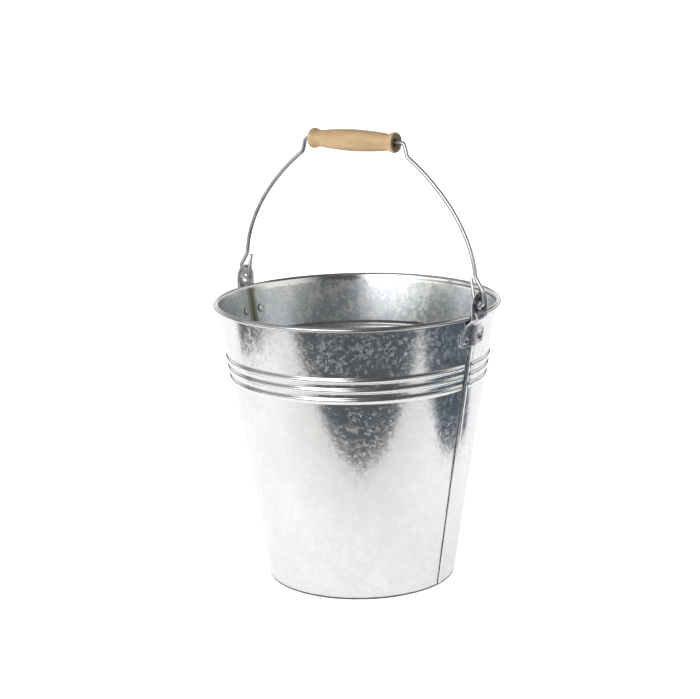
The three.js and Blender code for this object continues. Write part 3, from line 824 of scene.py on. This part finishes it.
def inside_loop(point, loop):
    """Whether a flat point lies inside a closed loop of points."""
    y, z = point
    ahead = np.roll(loop, -1, axis=0)
    crosses = (loop[:, 1] <= z) != (ahead[:, 1] <= z)
    (y0, z0), (y1, z1) = loop[crosses].T, ahead[crosses].T
    return bool(np.count_nonzero(y0 + (z - z0) * (y1 - y0) / (z1 - z0) > y) % 2)


# The ear's rounded edges: distances from the edge with a ring of points at each.
BEVEL_INSETS = (0.0, 0.05, 0.16, 0.34, 0.6, 0.95)
BEVEL_WIDTH = 0.95
BEVEL_DEPTH = 0.55
PLATE_SPACING = 0.62
PLATE_MARGIN = 1.3


def bevel_lift(inset):
    """Half the plate's thickness at that distance from its edge."""
    t = min(inset / BEVEL_WIDTH, 1)
    return EAR_SHEET / 2 - BEVEL_DEPTH * (1 - math.sqrt(max(0, 1 - (1 - t) ** 2)))


def plate_field(edge):
    """Staggered (y, z) points that fill the plate inside its bevels."""
    inner = inset_loop(edge, PLATE_MARGIN)
    row_step = PLATE_SPACING * math.sqrt(3) / 2
    field = []
    for r, z in enumerate(np.arange(EAR_BOTTOM, EAR_TOP, row_step)):
        for y in np.arange(-30 + (r % 2) * PLATE_SPACING / 2, 30, PLATE_SPACING):
            from_eye = math.hypot(y, z - EYE_HEIGHT)
            if from_eye > EYE_RADIUS + PLATE_MARGIN and inside_loop((y, z), inner):
                field.append((y, z))
    return field


def plate_marks(flat, lift):
    """Where the plate's edges get a painted highlight, and where its outer face gets painted
    shade: round the eye and in the crease beside the channel."""
    edge_highlight = np.clip((EAR_SHEET / 2 - lift) / BEVEL_DEPTH, 0, 1)
    y, z = flat[:, 0], flat[:, 1]
    head = smoothstep(0, 2.5, RING_RADIUS + 3.5 - np.hypot(y, z - RING_HEIGHT))
    crease = np.exp(-((np.abs(y) - 5.0) / 0.55) ** 2) * (z < RIM_HEIGHT - 6)
    return edge_highlight, np.maximum(0.85 * head, 0.8 * crease)


def stamped_plate():
    """Points, faces and marks of the ear: its two faces, and walls along its edge and eye."""
    edge = even_loop(ear_outline(), 0.55)
    ring = np.linspace(0, -2 * math.pi, 60, endpoint=False)
    eye = np.stack([EYE_RADIUS * np.cos(ring), EYE_HEIGHT + EYE_RADIUS * np.sin(ring)], axis=1)
    flat, lifts, borders, walls = [], [], [], []
    for border in (edge, eye):
        for inset in BEVEL_INSETS:
            start = len(flat)
            loop = inset_loop(border, inset)
            flat += [tuple(p) for p in loop]
            lifts += [bevel_lift(inset)] * len(loop)
            sides = [(start + i, start + (i + 1) % len(loop)) for i in range(len(loop))]
            borders += sides
            if inset == 0:
                walls += sides
    field = plate_field(edge)
    flat += field
    lifts += [EAR_SHEET / 2] * len(field)

    verts, _, triangles, origin, _, _ = delaunay_2d_cdt(
        [Vector(p) for p in flat], borders, [], 0, 1e-5)
    source = [o[0] for o in origin]
    flat = np.array([tuple(v) for v in verts])
    lift = np.array([lifts[i] for i in source])
    kept = []
    for triangle in triangles:
        centre = flat[list(triangle)].mean(axis=0)
        in_eye = math.hypot(centre[0], centre[1] - EYE_HEIGHT) < EYE_RADIUS * 0.998
        if inside_loop(centre, edge) and not in_eye:
            kept.append(tuple(triangle))
    count = len(flat)
    points = np.vstack([ear_points(flat, lift), ear_points(flat, -lift)])
    faces = kept + [tuple(i + count for i in reversed(t)) for t in kept]
    place = {s: i for i, s in enumerate(source)}
    for a, b in walls:
        faces.append((place[a], place[a] + count, place[b] + count, place[b]))
    edge_highlight, painted_shade = plate_marks(flat, lift)
    marks = {"highlit_edge": np.concatenate([edge_highlight, edge_highlight]),
             "painted_shade": np.concatenate([painted_shade, 0 * painted_shade])}
    return points, faces, marks


def ears():
    """Both ears: the same stamping, turned half round."""
    points, faces, marks = stamped_plate()
    pair = make_pair(("stamped_ear_right", "stamped_ear_left"), points, faces, "stamped_ear",
                     STAMPED, ("ear_right", "ear_left"), sharp_degrees=60)
    for ear in pair:
        for name, values in marks.items():
            mark_points(ear, name, values)


def rivets():
    """Four semi-tubular rivets: a low head inside the bucket, a rolled collar outside."""
    under = -(SHEET + 0.05)
    seat = GAP + EAR_SHEET - 0.1
    section = rounded([
        (0.15, under - 1.25, 0), (3.3, under - 1.1, 1.0), (4.2, under - 0.5, 0.5),
        (4.25, under, 0.2), (2.5, under + 0.2, 0.2), (2.5, seat - 0.2, 0.2),
        (3.8, seat, 0.25), (3.75, seat + 0.75, 0.5), (2.9, seat + 1.25, 0.5),
        (1.95, seat + 0.8, 0.35), (1.8, seat - 1.1, 0.5), (0.15, seat - 1.3, 0),
    ])
    points, faces = turned_mesh(section, 40, closed=False)
    # Painted shade: the rivet's hollow and the crease round its inner head are marked to turn
    # nearly black.
    from_axis = np.hypot(points[:, 0], points[:, 1])
    hollow = (from_axis < 2.05) & (points[:, 2] > 0)
    crease = (from_axis > 3.8) & (points[:, 2] < 0)
    recess_shade = hollow.astype(float) + 0.85 * crease
    radius = wall_radius(RIVET_HEIGHT)
    angle = math.asin(RIVET_OFFSET / radius)
    for side, facing in (("right", 0), ("left", math.pi)):
        for place, sign in (("front", -1), ("back", 1)):
            turn = facing + angle * (sign if side == "right" else -sign)
            out = Vector((math.cos(WALL_TILT) * math.cos(turn),
                          math.cos(WALL_TILT) * math.sin(turn), -math.sin(WALL_TILT)))
            spin = np.array(Vector((0, 0, 1)).rotation_difference(out).to_matrix())
            where = np.array([radius * math.cos(turn), radius * math.sin(turn), RIVET_HEIGHT])
            rivet = make_piece(f"rivet_{side}_{place}_fine", points @ spin.T + where, faces,
                               "bucket", "rivet_zinc", RIVET_ZINC, [f"rivet_{side}_{place}"],
                               sharp_degrees=50)
            mark_points(rivet, "recess_shade", recess_shade)


# -------- bail

def bail_half():
    """The wire's centre line, as (x, z), from the middle of the grip to the hook's free end.
    Its bent parts are corners with bend radii, and its arch is one long curve."""
    shoulder = (69.5, GRIP_HEIGHT - 16.4)
    arch_end = (146.1, PIVOT_HEIGHT + 31)
    rise = [(0, GRIP_HEIGHT, 0), (62.4, GRIP_HEIGHT, 4.5), (66.2, GRIP_HEIGHT - 14, 4.5),
            (*shoulder, 0)]
    knots = [shoulder, (103.4, GRIP_HEIGHT - 40.2), (140.6, GRIP_HEIGHT - 80), arch_end]
    arch = [bezier(knots, t) for t in np.linspace(0, 1, 90)[1:-1]]
    outside = BAIL_REACH - WIRE_RADIUS
    hook = [(*arch_end, 0), (146.9, PIVOT_HEIGHT + 27, 5),
            (outside, PIVOT_HEIGHT + 14.5, 6), (outside, PIVOT_HEIGHT, 4.2),
            (145.9, PIVOT_HEIGHT, 4.2), (141.5, PIVOT_HEIGHT + 26.5, 0)]
    return np.vstack([rounded(rise, 10), arch, rounded(hook, 12)])


def bail():
    """The bail: a round section swept along the wire's line, with chamfered cut ends."""
    half = bail_half()
    mirrored = half[1:][::-1] * np.array([-1, 1])
    line = np.vstack([mirrored, half])
    steps = np.hypot(*np.diff(line, axis=0).T)
    line = line[np.concatenate([[True], steps > 0.05])]
    ahead = np.gradient(line, axis=0)
    ahead /= np.hypot(ahead[:, 0], ahead[:, 1])[:, None]
    chamfer = ((0, 1.55), (0.15, 1.95), (0.5, WIRE_RADIUS))
    centres = [line[0] + ahead[0] * back for back, _ in chamfer] + list(line[1:-1])
    centres += [line[-1] - ahead[-1] * back for back, _ in reversed(chamfer)]
    tangents = [ahead[0]] * 3 + list(ahead[1:-1]) + [ahead[-1]] * 3
    cut = [radius for _, radius in chamfer]
    radii = cut + [WIRE_RADIUS] * (len(line) - 2) + cut[::-1]
    sides = 24
    turn = np.linspace(0, 2 * math.pi, sides, endpoint=False)
    points = []
    for centre, tangent, radius in zip(centres, tangents, radii):
        across = np.array([-tangent[1], tangent[0]])
        for a in turn:
            flat = centre + across * radius * math.cos(a)
            points.append((flat[0], radius * math.sin(a), flat[1]))
    make_piece("bail_wire_fine", points, ring_faces(len(centres), sides), "bail", "zinc_wire",
               WIRE, ["bail_wire"], sharp_degrees=50)


def grip():
    """The turned grip along X, with a bored hole and two fine tool marks near its middle."""
    end = GRIP_HALF_LENGTH
    knots = [(8.6, end), (9.9, end - 0.25), (10.45, end - 1.3), (10.5, end - 3.2),
             (9.9, end - 5.2), (9.0, end - 7.3), (8.7, end - 9.8), (8.85, end - 13),
             (9.6, end - 20), (10.4, end - 30), (11.0, end - 42), (GRIP_RADIUS, 0)]
    outside = smooth_curve(knots, 150)
    x = outside[:, 1]
    for groove in (0.4, 2.3):
        outside[:, 0] -= 0.10 * np.exp(-((x - groove) / 0.35) ** 2)
    bore = np.array([(3.7, 0), (3.7, end - 4.2), (4.3, end - 2.8), (5.6, end - 1.1),
                     (6.6, end - 0.25), (7.4, end)])
    half = np.vstack([bore[1:], outside])
    left = half[::-1] * np.array([1, -1])
    section = np.vstack([half, left[1:]])
    points, faces = turned_mesh(section, 72, closed=True)
    points = points[:, [2, 1, 0]] + np.array([0, 0, GRIP_HEIGHT])
    make_piece("beech_grip", points, faces, "grip", "beech_grip", BEECH, ["grip"])


body_panels()
bottom_pan()
seam_smears()
floor_fillet()
ears()
rivets()
bail()
grip()

rim_wire = frame["nodes"]["rim_wire"]
rim_wire.data.materials.clear()
rim_wire.data.materials.append(WIRE)


# -------- camera, floor and light

VIEW_AZIMUTH = math.radians(36.5)
VIEW_ELEVATION = math.radians(12.889)
VIEW_ROLL = math.radians(-1.176)
VIEW_DISTANCE = 1.88049
VIEW_TARGET = (-0.008419, 0.241232)
FOCAL_LENGTH = 91.95
SENSOR_WIDTH = 36.0

# Level directions: to the camera's right, and towards the camera.
RIGHT = Vector((math.cos(VIEW_AZIMUTH), math.sin(VIEW_AZIMUTH), 0))
TOWARDS = Vector((math.sin(VIEW_AZIMUTH), -math.cos(VIEW_AZIMUTH), 0))

FLOOR_LEVEL = -0.0006
FLOOR_REACH = 30
FLOOR_TONE = 0.62
FLOOR_LIGHT = 6.0
FLOOR_LIGHT_SPREAD = math.radians(60)

# The table top's outline, as (to the right, towards the camera) in metres. Its tone is painted
# light: palest near the bucket, and darker and warmer past TABLE_FADE.
TABLE_LEVEL = -0.0003
TABLE_OUTLINE = (
    (-1.1, -1.8), (0.95, -1.8), (0.95, -0.29), (0.43, -0.21), (0.39, -0.05), (0.385, 0.10),
    (0.45, 0.25), (0.50, 0.43), (0.28, 0.40), (0.13, 0.36), (0.0, 0.338), (-0.13, 0.36),
    (-0.28, 0.40), (-0.70, 0.43), (-0.70, -0.32), (-1.1, -0.34),
)
TABLE_FADE = (0.12, 0.33)
TABLE_TONE = 0.4256
TABLE_FAR_TONE = 0.342

ROOM_FRONT = 0.085
ROOM_LEFT = 0.18
ROOM_TOP = 0.09
ROOM_TOP_LEFT = 0.32
GROUND_TONE = 0.10

# Soft patches of light: (turn, rise, inner and outer half width in degrees), colour, and
# whether it stops short of the ceiling.
ROOM_PATCHES = (
    ((-33, 14, 13, 33), (2.6, 2.6, 2.6, 1), False),
    ((110, 22, 8, 30), (0.8, 0.8, 0.744, 1), False),
    ((66, 4, 6, 38), (1.05, 1.05, 0.9765, 1), True),
    ((-75, 4, 6, 38), (1.386, 1.4, 1.302, 1), True),
)

# Area lights: name, turn, distance, height, size and radiance. All face a point on the axis.
SOFTBOXES = (
    ("softbox_left", -45, 1.8, 1.1, 1.2, 1.6),
    ("softbox_right", 66, 1.8, 0.9, 1.0, 0.8),
    ("softbox_top", -120, 0.8, 2.2, 1.4, 2.2),
)
SOFTBOX_AIM = Vector((0, 0, 0.28))


def add_camera():
    """The camera at the viewing angle that the part is shown from."""
    back = TOWARDS * math.cos(VIEW_ELEVATION) + Vector((0, 0, math.sin(VIEW_ELEVATION)))
    up = back.cross(RIGHT)
    cam_x = RIGHT * math.cos(VIEW_ROLL) + up * math.sin(VIEW_ROLL)
    cam_y = up * math.cos(VIEW_ROLL) - RIGHT * math.sin(VIEW_ROLL)
    target = RIGHT * VIEW_TARGET[0] + Vector((0, 0, VIEW_TARGET[1]))
    turn = Matrix((cam_x, cam_y, back)).transposed().to_4x4()
    data = bpy.data.cameras.new("camera")
    data.lens = FOCAL_LENGTH
    data.sensor_width = SENSOR_WIDTH
    data.clip_start = 0.05
    data.clip_end = 100
    camera = add_object("camera", data)
    camera.matrix_world = Matrix.Translation(target + back * VIEW_DISTANCE) @ turn
    bpy.context.scene.camera = camera


def heading(turn):
    """The level direction turned from the camera's side towards the right, in degrees."""
    angle = math.radians(turn)
    return TOWARDS * math.cos(angle) + RIGHT * math.sin(angle)


def matt_sheet(name, outline, level):
    """A flat matt sheet with that outline: (sheet, nodes, shader)."""
    corners = [RIGHT * r + TOWARDS * t + Vector((0, 0, level)) for r, t in outline]
    mesh = bpy.data.meshes.new(name)
    mesh.from_pydata([tuple(c) for c in corners], [], [tuple(range(len(corners)))])
    material, nodes, shader = new_material(name + "_matt")
    nodes.plug(shader, Roughness=1.0, Specular_IOR_Level=0.0)
    mesh.materials.append(material)
    sheet = add_object(name, mesh)
    return sheet, nodes, shader


def add_floor():
    """A wide pale floor, and the smaller pale table top, which only the metal mirrors."""
    far = FLOOR_REACH
    corners = ((-far, -far), (far, -far), (far, far), (-far, far))
    floor, nodes, shader = matt_sheet("floor", corners, FLOOR_LEVEL)
    nodes.plug(shader, Base_Color=grey(FLOOR_TONE))
    floor.visible_glossy = False
    table, nodes, shader = matt_sheet("table_top", TABLE_OUTLINE, TABLE_LEVEL)
    # Painted light: the table top is palest near the bucket and falls off away from it.
    away = nodes.vector("DOT_PRODUCT", nodes.place(), tuple(TOWARDS))
    away = nodes.remap(away, *TABLE_FADE)
    warm = grey(TABLE_FAR_TONE, (1.0, 0.998, 0.965))
    nodes.plug(shader, Base_Color=nodes.mix(away, grey(TABLE_TONE), warm))
    table.visible_camera = False
    table.visible_shadow = False
    table.visible_diffuse = False
    return floor, table


def add_floor_light(sheets):
    """An even light on the floor and the table top alone, so that they stay pale."""
    data = bpy.data.lights.new("floor_light", "SUN")
    data.energy = FLOOR_LIGHT
    data.angle = FLOOR_LIGHT_SPREAD
    light = add_object("floor_light", data)
    group = bpy.data.collections.new("floor_only")
    for sheet in sheets:
        group.objects.link(sheet)
    light.light_linking.receiver_collection = group
    light.light_linking.blocker_collection = group


def add_softbox(name, turn, distance, height, size, radiance):
    """A large square soft light facing the bucket, which the metal doesn't mirror."""
    data = bpy.data.lights.new(name, "AREA")
    data.shape = "RECTANGLE"
    data.size = data.size_y = size
    data.energy = radiance * math.pi * size * size
    place = heading(turn) * distance + Vector((0, 0, height))
    facing = (SOFTBOX_AIM - place).to_track_quat("-Z", "Y")
    light = add_object(name, data)
    light.matrix_world = Matrix.Translation(place) @ facing.to_matrix().to_4x4()
    light.visible_glossy = False


def glow(nodes, direction, turn, rise, inner, outer):
    """How far a direction lies inside a soft round patch: 1 in its middle, 0 outside."""
    rise = math.radians(rise)
    middle = heading(turn) * math.cos(rise) + Vector((0, 0, math.sin(rise)))
    nearness = nodes.vector("DOT_PRODUCT", direction, tuple(middle))
    return nodes.remap(nearness, math.cos(math.radians(outer)), math.cos(math.radians(inner)),
                       smooth=True)


def add_room():
    """The room: white behind, dark on the camera's side and overhead, paler on the left, with
    soft patches of light and a dark ground."""
    world = bpy.data.worlds.new("room")
    bpy.context.scene.world = world
    world.use_nodes = True
    nodes = Nodes(world.node_tree)
    background = world.node_tree.nodes["Background"]
    direction = nodes.add("ShaderNodeTexCoord").outputs["Generated"]
    up = nodes.axis(direction, "Z")
    front = nodes.vector("DOT_PRODUCT", direction, tuple(TOWARDS))
    leftward = nodes.vector("DOT_PRODUCT", direction, tuple(-RIGHT))
    camera_side = nodes.mix(nodes.remap(leftward, 0.1, 0.9, smooth=True),
                            grey(ROOM_FRONT, (0.92, 1.0, 1.06)),
                            grey(ROOM_LEFT, (0.94, 1.0, 1.04)))
    sides = nodes.mix(nodes.remap(front, -0.8, -0.3, smooth=True), grey(1.0), camera_side)
    ceiling = nodes.mix(nodes.remap(leftward, -0.3, 0.6), grey(ROOM_TOP), grey(ROOM_TOP_LEFT))
    room = nodes.mix(nodes.remap(up, 0.12, 0.4, smooth=True), sides, ceiling)
    low = nodes.remap(up, 0.1, 0.3, 1.0, 0.0, smooth=True)
    for patch, colour, stays_low in ROOM_PATCHES:
        share = glow(nodes, direction, *patch)
        room = nodes.mix(nodes.times(share, low) if stays_low else share, room, colour)
    ground = nodes.mix(nodes.remap(leftward, -0.9, -0.3), grey(GROUND_TONE, (0.80, 1.0, 1.30)),
                       grey(GROUND_TONE, (0.93, 1.0, 1.09)))
    room = nodes.mix(nodes.remap(up, -0.02, 0.02), ground, room)
    nodes.plug(background, Color=room, Strength=1.0)


add_camera()
add_floor_light(add_floor())
add_room()
for softbox in SOFTBOXES:
    add_softbox(*softbox)

view = bpy.context.scene.view_settings
view.view_transform = "Standard"
view.look = "None"
view.exposure = 0.0
